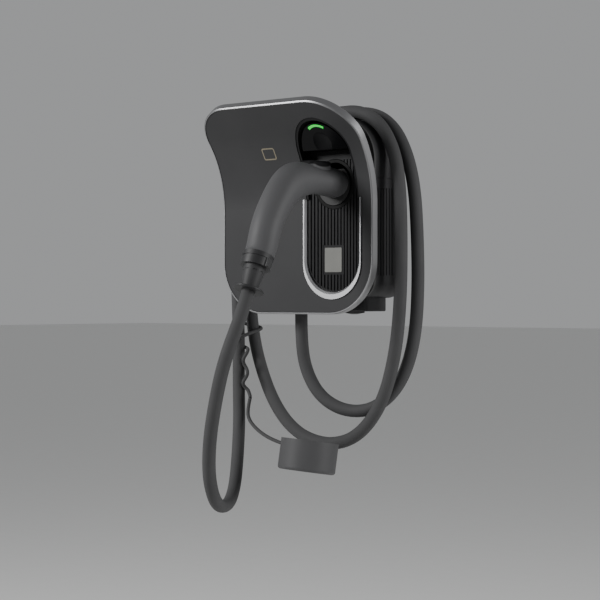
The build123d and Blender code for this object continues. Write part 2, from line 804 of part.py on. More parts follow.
board_low = board_mid_z - board_z / 2
terminal_spot = (board_x / 2 - terminal_inset - terminal_size[0] / 2,
                 board_low + terminal_up + terminal_size[1] / 2)
with BuildPart() as terminal_block:
    with BuildSketch(front_plane(board_front)):
        with Locations(terminal_spot):
            Rectangle(terminal_size[0], terminal_size[1])
    extrude(amount=terminal_size[2])
    with BuildSketch(front_plane(board_front - terminal_size[2])):
        with Locations(terminal_spot):
            with GridLocations(terminal_pitch, 1, terminal_ways, 1):
                Circle(terminal_hole)
    extrude(amount=-terminal_hole_deep, mode=Mode.SUBTRACT)

with BuildPart() as current_sensor:
    with BuildSketch(front_plane(board_front)):
        with Locations((sensor_x, board_low + sensor_up)):
            Circle(sensor_radius)
            Circle(sensor_bore, mode=Mode.SUBTRACT)
    extrude(amount=sensor_high)
    fillet(current_sensor.faces().sort_by(Axis.Y)[0].edges(), 1.5)

with BuildPart() as power_supply:
    with BuildSketch(front_plane(board_front)):
        with Locations((board_x / 2 - converter_inset - converter_size[0] / 2, board_mid_z - converter_drop)):
            RectangleRounded(converter_size[0], converter_size[1], 2)
    extrude(amount=converter_size[2])

# Light board behind the light bar, in a pocket of the hood's back
light_board_spot = (opening_x, light_z - light_board_drop)
with BuildPart() as light_board:
    with BuildSketch(front_plane(light_y + light_length + board_thick)):
        with Locations(light_board_spot):
            Rectangle(light_board_wide, light_board_high)
    extrude(amount=board_thick)
with BuildPart() as board_cut:
    with BuildSketch(front_plane(insert_y + 1)):
        with Locations(light_board_spot):
            Rectangle(light_board_wide + 2 * fit, light_board_high + 2 * fit)
    extrude(amount=insert_y + 1 - light_y - light_length)
light_hood.part = light_hood.part - board_cut.part

# Reader coil on the back of the face sheet, in the flat of the housing's upper part
with BuildPart() as reader_coil:
    with BuildSketch(front_plane(cover_back + coil_thick)):
        with Locations((reader_x + coil_shift_x, reader_z + coil_shift_z)):
            RectangleRounded(coil_x, coil_z, 5)
            RectangleRounded(coil_x - 2 * coil_band, coil_z - 2 * coil_band, 4, mode=Mode.SUBTRACT)
    extrude(amount=coil_thick)

# Plug nose: round shroud with the flat top that keys it, hollow round the contact carrier
nose_tip = nose_start + nose_length
with BuildPart() as plug_nose:
    with BuildSketch(front_plane(nose_tip)):
        with Locations((opening_x, nose_z)):
            Circle(nose_radius)
        with Locations((opening_x, nose_z + nose_flat)):
            Rectangle(2 * nose_radius, nose_radius, align=(Align.CENTER, Align.MIN), mode=Mode.SUBTRACT)
    extrude(amount=nose_length)
    with BuildSketch(front_plane(nose_tip)):
        with Locations((opening_x, nose_z)):
            Circle(nose_radius - nose_wall)
        with Locations((opening_x, nose_z + nose_flat - nose_wall)):
            Rectangle(2 * nose_radius, nose_radius, align=(Align.CENTER, Align.MIN), mode=Mode.SUBTRACT)
    extrude(amount=nose_length - 3, mode=Mode.SUBTRACT)
    chamfer(plug_nose.faces().sort_by(Axis.Y)[-1].edges(), 0.8)

contact_spots = [(opening_x + pin_circle * cos(radians(a)), nose_z - 1 + pin_circle * sin(radians(a)))
                 for a in (0, 180, 240, 300)]
pilot_spots = [(opening_x + pin_circle * cos(radians(a)), nose_z - 1 + pin_circle * sin(radians(a)))
               for a in (55, 125)]
carrier_back = nose_start + 3
with BuildPart() as contact_carrier:
    with BuildSketch(front_plane(carrier_back + carrier_length)):
        with Locations((opening_x, nose_z)):
            Circle(carrier_radius)
        with Locations((opening_x, nose_z + nose_flat - nose_wall - 2.5)):
            Rectangle(60, nose_radius, align=(Align.CENTER, Align.MIN), mode=Mode.SUBTRACT)
    extrude(amount=carrier_length)
    with BuildSketch(front_plane(carrier_back + carrier_length)):
        with Locations(*contact_spots, (opening_x, nose_z - 1)):
            Circle(pin_radius + 0.9)
        with Locations(*pilot_spots):
            Circle(pilot_radius + 0.9)
    extrude(amount=pin_length + 2, mode=Mode.SUBTRACT)

with BuildPart() as contact_sleeves:
    with BuildSketch(front_plane(carrier_back + carrier_length - 2)):
        with Locations(*contact_spots, (opening_x, nose_z - 1)):
            Circle(pin_radius)
            Circle(pin_radius - 1.2, mode=Mode.SUBTRACT)
        with Locations(*pilot_spots):
            Circle(pilot_radius)
            Circle(pilot_radius - 0.7, mode=Mode.SUBTRACT)
    extrude(amount=pin_length)

# Plug body: a bent grip lofted through sections that stand square to its centre line
line_points = [Vector(opening_x, y, z) for y, z in plug_line]
with BuildLine():
    grip_line = Spline(*line_points, tangents=[(0, -1, 0), (0, -0.4, -0.92)])
with BuildPart() as plug_handle:
    for index, point in enumerate(line_points):
        where = grip_line.param_at_point(point)
        along = grip_line.tangent_at(where)
        with BuildSketch(Plane(origin=point, x_dir=(1, 0, 0), z_dir=along)):
            Ellipse(plug_wide[index], plug_deep[index])
    loft()
    with BuildSketch(Plane.XY.offset(plug_line[1][1] + plug_deep[1] - hump_seat)):
        with Locations((opening_x, hump_y)):
            RectangleRounded(hump_wide, hump_long, hump_corner)
    extrude(amount=hump_high, taper=8)
    fillet(plug_handle.faces().sort_by(Axis.Z)[-1].edges(), hump_round)

grip_end = line_points[-1]
grip_way = grip_line.tangent_at(1)


def down_grip(distance):
    """Plane square to the grip's axis, a distance beyond the end of the grip."""
    return Plane(origin=grip_end + grip_way * distance, x_dir=(1, 0, 0), z_dir=grip_way)


# Dark collar that screws on the grip's end, with a shallow groove and a tab on its right
with BuildPart() as plug_collar:
    with BuildSketch(down_grip(0)):
        Circle(collar_radius)
    with BuildSketch(down_grip(collar_long)):
        Circle(collar_radius - collar_taper)
    loft()
    with BuildSketch(down_grip(collar_long / 3)):
        Circle(collar_radius)
        Circle(collar_radius - collar_taper / 3 - collar_groove, mode=Mode.SUBTRACT)
    extrude(amount=2 * collar_groove, mode=Mode.SUBTRACT)
    with BuildSketch(down_grip(collar_long - tab_long)):
        with Locations((collar_radius - collar_taper, 0)):
            RectangleRounded(2 * tab_proud, tab_wide, 1)
    extrude(amount=tab_long)
    with BuildSketch(down_grip(0)):
        Circle(boot_big - 2)
    extrude(amount=collar_long, mode=Mode.SUBTRACT)

# Rubber boot with staggered slots, and the round disc at its end
with BuildPart() as cable_boot:
    with BuildSketch(down_grip(0)):
        Circle(boot_big - 2 - 0.1)
    extrude(amount=collar_long)
    with BuildSketch(down_grip(collar_long)):
        Circle(boot_big)
    with BuildSketch(down_grip(collar_long + boot_long)):
        Circle(boot_small)
    loft()
    for row in range(2):
        with BuildSketch(down_grip(collar_long + 6 + row * 6)):
            with PolarLocations(boot_big, 8, start_angle=row * 22.5):
                Rectangle(3.2, 5)
        extrude(amount=boot_slot, mode=Mode.SUBTRACT)

with BuildPart() as boot_disc:
    with BuildSketch(down_grip(collar_long + boot_long)):
        Circle(disc_radius)
    extrude(amount=disc_thick)
    fillet(boot_disc.edges().filter_by(GeomType.CIRCLE), 0.8)

cable_start = collar_long + boot_long + disc_thick
cable_end = down_grip(cable_start).origin
cable_lead = down_grip(cable_start + cable_straight).origin


def run_radii(points):
    """Largest arc at each corner: 0.45 of its shorter run over the tangent of half the turn."""
    radii = []
    for before, here, after in zip(points, points[1:], points[2:]):
        run_in = Vector(here) - Vector(before)
        run_out = Vector(after) - Vector(here)
        turn = radians(run_in.get_angle(run_out))
        radii.append(0.45 * min(run_in.length, run_out.length) / tan(turn / 2))
    return radii


def cord_tube(points, radius):
    """Round tube along straight runs joined by tangent arcs."""
    with BuildLine(mode=Mode.PRIVATE) as route:
        FilletPolyline(*points, radius=run_radii(points))
    wire = route.wire()
    with BuildPart() as tube:
        with BuildSketch(Plane(origin=wire @ 0, z_dir=wire % 0)):
            Circle(radius)
        sweep(path=wire)
    return tube.part, wire


def hanging_point(across, depth, up):
    """Point of the cable's route, from parts of a hundred of the housing's half width and heights."""
    high = housing_top if up > 0 else -housing_low
    return (across / 100 * housing_half, depth, up / 100 * high)


gland_end = housing_low - gland_long
full_route = [(gland_x, gland_y, gland_end), (gland_x, gland_y, gland_end - gland_straight)]
full_route += [hanging_point(*point) for point in cable_route]
full_route += [tuple(cable_lead), tuple(cable_end)]
cable_tube, cable_wire = cord_tube(full_route, cable_radius)
with BuildPart() as charging_cable:
    add(cable_tube)
print("cable points", [tuple(round(v, 2) for v in point) for point in full_route])
print("cable arcs", [round(r) for r in run_radii(full_route)])
print("cable length", round(cable_wire.length, 1), "by volume",
      round(charging_cable.part.volume / (3.14159265 * cable_radius ** 2), 1))

# Outer shape of the tether's turns round the cable, a sleeve along the same line
run_middles = [(Vector(a) + Vector(b)) / 2 for a, b in zip(full_route, full_route[1:])]
wrapped = [m for m in run_middles if m.X < gland_x and m.Y < gland_y and wrap_end < m.Z < wrap_start]
wrap_line = cable_wire.trim(cable_wire.param_at_point(wrapped[0]), cable_wire.param_at_point(wrapped[-1]))
with BuildPart() as tether_wrap:
    with BuildSketch(Plane(origin=wrap_line @ 0, z_dir=wrap_line % 0)):
        Circle(cable_radius + wrap_gap + tether_diameter)
        Circle(cable_radius + wrap_gap, mode=Mode.SUBTRACT)
    sweep(path=wrap_line)

# The tether leaves the last turn along the cable, then swings over to the cap
wrap_foot = Plane(origin=wrap_line @ 1, x_dir=(1, 0, 0), z_dir=wrap_line % 1)
tether_exit = wrap_foot.origin + wrap_foot.x_dir * (cable_radius + wrap_gap + tether_radius)
tether_lead = tether_exit + wrap_foot.z_dir * tether_straight
full_tether = [tuple(tether_exit), tuple(tether_lead)]
full_tether += [tuple(tether_lead + Vector(step)) for step in tether_steps]
tether_tube, tether_wire = cord_tube(full_tether, tether_radius)
with BuildPart() as tether:
    add(tether_tube)
print("tether points", [tuple(round(v, 2) for v in point) for point in full_tether])
print("tether arcs", [round(r) for r in run_radii(full_tether)])
print("tether length", round(tether_wire.length, 1), "by volume",
      round(tether.part.volume / (3.14159265 * tether_radius ** 2), 1))

# Protective cap for the plug: a cup with a lug on its wall, hung on its tether with the open side up
cap_centre = Vector(full_tether[-1]) + Vector(cap_hang)
print("cap centre", tuple(round(v, 2) for v in cap_centre))
cap_plane = Plane(origin=cap_centre, x_dir=(1, 0, 0), z_dir=(0, 0, 1)).rotated((-cap_tip, cap_lean, 0))
with BuildPart() as protective_cap:
    with BuildSketch(cap_plane.offset(-cap_high / 2)):
        Circle(cap_radius)
    extrude(amount=cap_high)
    fillet(protective_cap.edges().filter_by(GeomType.CIRCLE).group_by(Axis.Z)[0], cap_round)
    with BuildSketch(Plane(origin=tether_wire @ 1, z_dir=tether_wire % 1)):
        Circle(lug_radius)
    extrude(amount=lug_long)
    with BuildSketch(cap_plane.offset(-cap_high / 2 + cap_wall)):
        Circle(cap_radius - cap_wall)
    extrude(amount=cap_high, mode=Mode.SUBTRACT)

pieces = {
    "wall_plate": wall_plate, "hanging_screws": hanging_screws, "rear_housing": rear_housing,
    "cover_gasket": cover_gasket, "inner_cover": inner_cover, "cover_screws": cover_screws,
    "edge_frame": edge_frame, "front_panel": front_panel, "reader_mark": reader_mark,
    "recess_rim": recess_rim, "ribbed_insert": ribbed_insert, "label_plate": label_plate,
    "light_hood": light_hood, "light_bar": light_bar, "light_board": light_board,
    "holster_cup": holster_cup, "supply_box": supply_box, "supply_grommet": supply_grommet,
    "cable_gland": cable_gland, "gland_nut": gland_nut, "main_board": main_board,
    "board_standoffs": board_standoffs, "contactor": contactor, "terminal_block": terminal_block,
    "current_sensor": current_sensor, "power_supply": power_supply, "reader_coil": reader_coil,
    "plug_nose": plug_nose, "contact_carrier": contact_carrier, "contact_sleeves": contact_sleeves,
    "plug_handle": plug_handle, "plug_collar": plug_collar, "cable_boot": cable_boot,
    "boot_disc": boot_disc, "charging_cable": charging_cable, "tether_wrap": tether_wrap,
    "tether": tether, "protective_cap": protective_cap,
}
for name, piece in pieces.items():
    piece.part.label = name
    export_step(piece.part, f"parts/{name}.step")
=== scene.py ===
import json
from math import pi, radians

import bpy
import numpy as np
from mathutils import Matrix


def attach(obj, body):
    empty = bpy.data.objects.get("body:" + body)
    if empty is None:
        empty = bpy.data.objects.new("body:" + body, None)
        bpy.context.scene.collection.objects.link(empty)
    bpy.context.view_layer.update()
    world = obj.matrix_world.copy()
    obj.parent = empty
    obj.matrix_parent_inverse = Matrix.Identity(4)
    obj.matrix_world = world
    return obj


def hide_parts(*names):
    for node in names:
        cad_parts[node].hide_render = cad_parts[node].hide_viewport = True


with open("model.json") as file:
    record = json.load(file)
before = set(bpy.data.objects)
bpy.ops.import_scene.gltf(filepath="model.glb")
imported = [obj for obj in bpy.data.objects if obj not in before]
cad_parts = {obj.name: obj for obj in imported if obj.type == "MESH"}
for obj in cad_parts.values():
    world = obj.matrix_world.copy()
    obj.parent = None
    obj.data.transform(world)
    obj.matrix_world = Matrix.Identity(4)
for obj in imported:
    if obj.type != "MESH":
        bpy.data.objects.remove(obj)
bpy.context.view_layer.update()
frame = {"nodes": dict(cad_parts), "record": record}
nodes = frame["nodes"]

# Camera at the photograph's angle: level, turned to the right of the panel

CAMERA_PLACE = (1.4134, -1.8006, -0.1307)
CAMERA_TURN = radians(39.3)
CAMERA_LENS = 98.1
CAMERA_SENSOR = 36
CAMERA_NEAR = 0.05

camera_data = bpy.data.cameras.new("camera")
camera_data.lens = CAMERA_LENS
camera_data.sensor_width = CAMERA_SENSOR
camera_data.clip_start = CAMERA_NEAR
camera = bpy.data.objects.new("camera", camera_data)
camera.location = CAMERA_PLACE
camera.rotation_euler = (radians(90), 0, CAMERA_TURN)
bpy.context.scene.collection.objects.link(camera)
bpy.context.scene.camera = camera

# Cords: the routes' points are the part's own, in metres

CABLE_DIAMETER = 0.0174
TETHER_DIAMETER = 0.005
CORD_STEPS = 10
CORD_ROUNDNESS = 7

CABLE_ROUTE = [
    (-0.026, -0.039, -0.150), (-0.026, -0.039, -0.188), (-0.019, -0.038, -0.22797), (0.004, -0.036, -0.26355),
    (0.041, -0.0325, -0.28198), (0.083, -0.0285, -0.28147), (0.119, -0.0255, -0.25946),
    (0.143, -0.023, -0.22349), (0.1565, -0.022, -0.17306), (0.160, -0.0213, -0.10995),
    (0.1585, -0.0213, -0.04403), (0.1545, -0.0213, 0.01596), (0.1425, -0.0213, 0.06395),
    (0.1195, -0.0213, 0.10397), (0.084, -0.0213, 0.12392), (0.040, -0.0213, 0.12335),
    (-0.040, -0.0213, 0.12335), (-0.084, -0.0213, 0.12392), (-0.1195, -0.0213, 0.10397),
    (-0.142, -0.0213, 0.06395), (-0.1475, -0.0213, 0.01596), (-0.142, -0.0213, -0.048),
    (-0.136, -0.0213, -0.10995), (-0.132, -0.0218, -0.16397), (-0.117, -0.0235, -0.22003),
    (-0.084, -0.028, -0.28006), (-0.040, -0.032, -0.31795), (0.020, -0.037, -0.33101),
    (0.076, -0.042, -0.31603), (0.120, -0.046, -0.26803), (0.142, -0.048, -0.20198),
    (0.1505, -0.0486, -0.13402), (0.152, -0.0486, -0.05798), (0.150, -0.0486, 0.01596),
    (0.142, -0.0486, 0.06395), (0.1195, -0.0486, 0.10397), (0.084, -0.0486, 0.12392),
    (0.040, -0.0486, 0.12335), (-0.040, -0.0486, 0.12335), (-0.084, -0.0486, 0.12392),
    (-0.1195, -0.0486, 0.10397), (-0.142, -0.0486, 0.06395), (-0.1475, -0.0486, 0.01596),
    (-0.142, -0.0486, -0.048), (-0.1355, -0.0488, -0.12006), (-0.132, -0.050, -0.19597),
    (-0.1295, -0.0535, -0.24397), (-0.121, -0.0615, -0.30003), (-0.107, -0.081, -0.34995),
    (-0.085, -0.112, -0.39002), (-0.058, -0.156, -0.40896), (-0.034, -0.206, -0.40205),
    (-0.010, -0.247, -0.36198), (0.010, -0.268, -0.31104), (0.031, -0.279, -0.256), (0.048, -0.281, -0.20506),
    (0.0635, -0.26654, -0.14883), (0.0635, -0.25378, -0.11949),
]

TETHER_ROUTE = [
    (-0.1055, -0.0561, -0.2687), (-0.1075, -0.059, -0.284), (-0.1035, -0.0625, -0.2985),
    (-0.080, -0.0705, -0.3125), (-0.046, -0.0795, -0.3235), (-0.01938, -0.08601, -0.32696),
]


def add_piece(name, data):
    """A piece of the part: its object sits at the origin and rides on the one body."""
    piece = bpy.data.objects.new(name, data)
    bpy.context.scene.collection.objects.link(piece)
    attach(piece, "root")
    return piece


def cord_curve(name, route, diameter):
    """Round cord: a quadratic NURBS spline with the route's points as its control points.

    Half the diameter is each point's radius, and the bevel only multiplies it by one, so that the box that
    Blender works out for the curve is the cord's own.
    """
    curve = bpy.data.curves.new(name, "CURVE")
    curve.dimensions = "3D"
    spline = curve.splines.new("NURBS")
    spline.points.add(len(route) - 1)
    spline.points.foreach_set("co", np.c_[np.array(route), np.ones(len(route))].ravel())
    spline.points.foreach_set("radius", np.full(len(route), diameter / 2))
    spline.order_u = 3
    spline.use_endpoint_u = True
    spline.use_smooth = True
    curve.resolution_u = CORD_STEPS
    spline.resolution_u = CORD_STEPS
    curve.bevel_depth = 1.0
    curve.bevel_resolution = CORD_ROUNDNESS
    curve.use_fill_caps = True
    return curve


def cord_line(curve):
    """Points along a cord's own line, read from its spline without the round section."""
    bare = curve.copy()
    bare.bevel_depth = 0
    holder = bpy.data.objects.new("bare_line", bare)
    mesh = bpy.data.meshes.new_from_object(holder)
    line = np.empty(len(mesh.vertices) * 3)
    mesh.vertices.foreach_get("co", line)
    bpy.data.objects.remove(holder)
    bpy.data.meshes.remove(mesh)
    bpy.data.curves.remove(bare)
    return line.reshape(-1, 3)


def grid_mesh(name, rows, close_around=True, close_ends=False):
    """Mesh of a grid of points, rows by columns: each row is a ring, and quads join ring to ring.

    With close_ends each end ring is filled by triangles to its middle point.
    """
    rows = np.asarray(rows, float)
    m, n = rows.shape[:2]
    verts = rows.reshape(-1, 3)
    a = np.arange(m - 1)[:, None] * n
    c = np.arange(n if close_around else n - 1)[None, :]
    d = (c + 1) % n
    quads = np.stack([a + c, a + d, a + n + d, a + n + c], -1).reshape(-1, 4)
    loops = quads.ravel()
    starts = np.arange(len(quads)) * 4
    if close_ends:
        ends = np.array([rows[0].mean(0), rows[-1].mean(0)])
        first, last = len(verts), len(verts) + 1
        verts = np.r_[verts, ends]
        c = np.arange(n)
        d = (c + 1) % n
        low = np.stack([d, c, np.full(n, first)], -1)
        high = np.stack([(m - 1) * n + c, (m - 1) * n + d, np.full(n, last)], -1)
        tris = np.r_[low, high]
        starts = np.r_[starts, len(loops) + np.arange(len(tris)) * 3]
        loops = np.r_[loops, tris.ravel()]
    mesh = bpy.data.meshes.new(name)
    mesh.vertices.add(len(verts))
    mesh.vertices.foreach_set("co", verts.ravel())
    mesh.loops.add(len(loops))
    mesh.loops.foreach_set("vertex_index", loops)
    mesh.polygons.add(len(starts))
    mesh.polygons.foreach_set("loop_start", starts)
    mesh.polygons.foreach_set("use_smooth", np.full(len(starts), True))
    mesh.update(calc_edges=True)
    mesh.validate()
    return mesh


def along_frames(line):
    """Unit tangents of a line, and two unit vectors square to each, carried along without twist."""
    tangents = np.gradient(line, axis=0)
    tangents /= np.linalg.norm(tangents, axis=1, keepdims=True)
    side = np.cross(tangents[0], (0.0, 0.0, 1.0))
    if np.linalg.norm(side) < 0.2:
        side = np.cross(tangents[0], (1.0, 0.0, 0.0))
    sides = [side / np.linalg.norm(side)]
    for tangent in tangents[1:]:
        turned = sides[-1] - tangent * sides[-1].dot(tangent)
        sides.append(turned / np.linalg.norm(turned))
    sides = np.array(sides)
    return tangents, sides, np.cross(tangents, sides)


def tube_rows(line, radius, count):
    """Rings of a tube: at each point of the line, the radius times (cos a, sin a) across it."""
    _, u, v = along_frames(line)
    angle = np.arange(count) * 2 * pi / count
    ring = np.cos(angle)[None, :, None] * u[:, None, :] + np.sin(angle)[None, :, None] * v[:, None, :]
    return line[:, None, :] + radius * ring


cable_curve = cord_curve("cable_sheath", CABLE_ROUTE, CABLE_DIAMETER)
cable_line = cord_line(cable_curve)
cable = add_piece("cable_sheath", cable_curve)
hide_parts("charging_cable")

tether_curve = cord_curve("cap_tether", TETHER_ROUTE, TETHER_DIAMETER)
tether_line = cord_line(tether_curve)
tether = add_piece("cap_tether", tether_curve)
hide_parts("tether")

# Turns of the tether: half round the inner strand, across to the outer one, once round that, and then
# loose curls that lie against its right side, each a little different

SNUG = 0.0114
INNER_DEPTHS = (-0.03, 0.0)
OUTER_DEPTHS = (-0.08, -0.04)
STRAND_RIGHT = -0.105
STRAND_HEIGHTS = (-0.31, -0.13)
FIRST_HEIGHTS = (-0.164, -0.173)
FIRST_ANGLE = radians(215)
FIRST_STEPS = 40
CROSSING_STEPS = 10
CURL_SIDE = radians(-8)
CURL_DEGREES = [0.0, -320.7, -680.7, -980.0, -1040.7]
CURL_HEIGHTS = [-0.181, -0.2005, -0.2337, -0.2585, -0.2687]
CURL_RADII = [0.0034, 0.0034, 0.0029, 0.0046, 0.0050]
CURL_STEPS = 260
LEAVE_ANGLE = radians(-285)
LEAVE_SPAN = radians(45)
TURNS_SIDES = 12


def strand(near, far):
    """Middle line of one hanging strand of the cable, from the top down, between two depths."""
    x, y, z = cable_line.T
    low, high = STRAND_HEIGHTS
    part = cable_line[(x < STRAND_RIGHT) & (y > near) & (y < far) & (z < high) & (z > low)]
    return part[np.argsort(-part[:, 2])]


def strand_at(core, z):
    """Points of a strand's middle line at given heights."""
    return np.stack([np.interp(-z, -core[:, 2], core[:, i]) for i in range(3)], 1)


def ring_point(radius, angle):
    """Level offset: radius times (cos a, sin a, 0)."""
    return np.stack([radius * np.cos(angle), radius * np.sin(angle), 0 * angle], 1)


def wrap_path():
    """Middle line of the tether's turns.

    Half a turn of snug radius round the inner strand, a straight crossing, then a line whose angle runs down
    through the curls: first round the outer strand, then, over a smooth step, round an axis beside it that
    keeps the curl clear of the strand. The last points are drawn to the start of the free run.
    """
    z = np.linspace(*FIRST_HEIGHTS, FIRST_STEPS)
    first = strand_at(strand(*INNER_DEPTHS), z) + ring_point(SNUG, np.linspace(FIRST_ANGLE, 0, FIRST_STEPS))
    angle = np.linspace(0, CURL_DEGREES[-1], CURL_STEPS)
    z = np.interp(-angle, [-a for a in CURL_DEGREES], CURL_HEIGHTS)
    radius = np.interp(-angle, [-a for a in CURL_DEGREES], CURL_RADII)
    angle = np.radians(angle)
    beside = ring_point(SNUG + radius, np.full(CURL_STEPS, CURL_SIDE)) + ring_point(radius, angle)
    step = np.clip((LEAVE_ANGLE - angle) / LEAVE_SPAN, 0, 1)[:, None]
    step = step ** 2 * (3 - 2 * step)
    turns = strand_at(strand(*OUTER_DEPTHS), z) + (1 - step) * ring_point(SNUG, angle) + step * beside
    turns += np.linspace(0, 1, CURL_STEPS)[:, None] ** 4 * (np.array(TETHER_ROUTE[0]) - turns[-1])
    across = np.linspace(first[-1], turns[0], CROSSING_STEPS)[1:-1]
    return np.concatenate([first, across, turns])


wrap_rows = tube_rows(wrap_path(), TETHER_DIAMETER / 2, TURNS_SIDES)
wrap = add_piece("tether_turns", grid_mesh("tether_turns", wrap_rows, close_ends=True))
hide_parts("tether_wrap")

# Shared effects: node groups that put out values varying over the surface


def new_group(name, inputs, outputs):
    """Shader node group with a vector input, named float inputs and float outputs."""
    group = bpy.data.node_groups.new(name, "ShaderNodeTree")
    group.interface.new_socket("Vector", in_out="INPUT", socket_type="NodeSocketVector")
    for label, default in inputs:
        socket = group.interface.new_socket(label, in_out="INPUT", socket_type="NodeSocketFloat")
        socket.default_value = default
    for label in outputs:
        group.interface.new_socket(label, in_out="OUTPUT", socket_type="NodeSocketFloat")
    return group, group.nodes.new("NodeGroupInput"), group.nodes.new("NodeGroupOutput")


def moulded_grain_group():
    """Fine pits of a moulded or sprayed surface over a broad, faint mottle."""
    group, into, out = new_group("moulded_grain", [("Grain Scale", 900.0), ("Mottle Scale", 18.0)],
                                 ["Height", "Mottle"])
    pits = group.nodes.new("ShaderNodeTexVoronoi")
    pits.feature = "SMOOTH_F1"
    pits.inputs["Smoothness"].default_value = 0.6
    fine = group.nodes.new("ShaderNodeTexNoise")
    fine.inputs["Detail"].default_value = 3
    broad = group.nodes.new("ShaderNodeTexNoise")
    broad.inputs["Detail"].default_value = 4
    broad.inputs["Roughness"].default_value = 0.6
    mix = group.nodes.new("ShaderNodeMath")
    mix.operation = "MULTIPLY_ADD"
    mix.inputs[1].default_value = 0.6
    link = group.links.new
    for node, scale in ((pits, "Grain Scale"), (fine, "Grain Scale"), (broad, "Mottle Scale")):
        link(into.outputs["Vector"], node.inputs["Vector"])
        link(into.outputs[scale], node.inputs["Scale"])
    link(pits.outputs["Distance"], mix.inputs[0])
    link(fine.outputs["Fac"], mix.inputs[2])
    link(mix.outputs["Value"], out.inputs["Height"])
    link(broad.outputs["Fac"], out.inputs["Mottle"])
    return group


def handling_group():
    """Faint smears and dust: one distorted noise, cut to soft patches by a smooth step."""
    group, into, out = new_group("handling_marks", [("Scale", 14.0), ("Amount", 0.5)], ["Marks"])
    smear = group.nodes.new("ShaderNodeTexNoise")
    smear.inputs["Detail"].default_value = 5
    smear.inputs["Distortion"].default_value = 1.2
    ramp = group.nodes.new("ShaderNodeMapRange")
    ramp.interpolation_type = "SMOOTHSTEP"
    ramp.inputs["From Min"].default_value = 0.45
    ramp.inputs["From Max"].default_value = 0.75
    scale = group.nodes.new("ShaderNodeMath")
    scale.operation = "MULTIPLY"
    link = group.links.new
    link(into.outputs["Vector"], smear.inputs["Vector"])
    link(into.outputs["Scale"], smear.inputs["Scale"])
    link(smear.outputs["Fac"], ramp.inputs["Value"])
    link(ramp.outputs["Result"], scale.inputs[0])
    link(into.outputs["Amount"], scale.inputs[1])
    link(scale.outputs["Value"], out.inputs["Marks"])
    return group


grain_group = moulded_grain_group()
marks_group = handling_group()

MARKS_ROUGHNESS = 0.22
GRAIN_HEIGHT = 0.0006


def finish(name, colour, rough, grain=900.0, depth=0.04, spread=0.18, marks=0.25, metallic=0.0, specular=0.5):
    """Principled finish whose colour and roughness wander over the surface, with fine grain in its normal."""
    material = bpy.data.materials.new(name)
    material.use_nodes = True
    tree = material.node_tree
    shader = tree.nodes["Principled BSDF"]
    place = tree.nodes.new("ShaderNodeTexCoord")
    surface = tree.nodes.new("ShaderNodeGroup")
    surface.node_tree = grain_group
    surface.inputs["Grain Scale"].default_value = grain
    smears = tree.nodes.new("ShaderNodeGroup")
    smears.node_tree = marks_group
    smears.inputs["Amount"].default_value = marks
    tint = tree.nodes.new("ShaderNodeMix")
    tint.data_type = "RGBA"
    tint.inputs["A"].default_value = (*[c * (1 - spread) for c in colour], 1)
    tint.inputs["B"].default_value = (*[min(1, c * (1 + spread)) for c in colour], 1)
    dull = tree.nodes.new("ShaderNodeMath")
    dull.operation = "MULTIPLY_ADD"
    dull.inputs[1].default_value = MARKS_ROUGHNESS
    dull.inputs[2].default_value = rough
    bump = tree.nodes.new("ShaderNodeBump")
    bump.inputs["Strength"].default_value = depth
    bump.inputs["Distance"].default_value = GRAIN_HEIGHT
    link = tree.links.new
    link(place.outputs["Object"], surface.inputs["Vector"])
    link(place.outputs["Object"], smears.inputs["Vector"])
    link(surface.outputs["Mottle"], tint.inputs["Factor"])
    link(smears.outputs["Marks"], dull.inputs[0])
    link(surface.outputs["Height"], bump.inputs["Height"])
    link(tint.outputs["Result"], shader.inputs["Base Color"])
    link(dull.outputs["Value"], shader.inputs["Roughness"])
    link(bump.outputs["Normal"], shader.inputs["Normal"])
    shader.inputs["Metallic"].default_value = metallic
    shader.inputs["Specular IOR Level"].default_value = specular
    return material


def lamp_finish():
    """Frosted lens of the light bar, lit evenly in green."""
    material = finish("lit_lens", (0.01, 0.16, 0.03), 0.5, spread=0.05, marks=0.0, specular=0.08)
    shader = material.node_tree.nodes["Principled BSDF"]
    shader.inputs["Emission Color"].default_value = (0.030, 0.60, 0.060, 1)
    shader.inputs["Emission Strength"].default_value = 1.25
    return material


PAD_CENTRE = (0.0635, -0.1180, 0.0600)
PAD_HALF = (0.0220, 0.0340, 0.0185)
# Dark colour painted over the thumb pad: painted shade where the grip's end lies in shade near the holster
PAD_PAINTED_SHADE = (0.0085, 0.0085, 0.0090, 1)
PAD_EDGE = (0.97, 1.03)
PAD_GLOSS = 0.03
GRIP_GLOSS = 0.20


def pad_to_grip(tree, at_pad, at_grip):
    """Value that goes from one figure on the thumb pad to another on the grip, over the pad's edge."""
    change = tree.nodes.new("ShaderNodeMapRange")
    for label, value in zip(("From Min", "From Max", "To Min", "To Max"), (*PAD_EDGE, at_pad, at_grip)):
        change.inputs[label].default_value = value
    return change


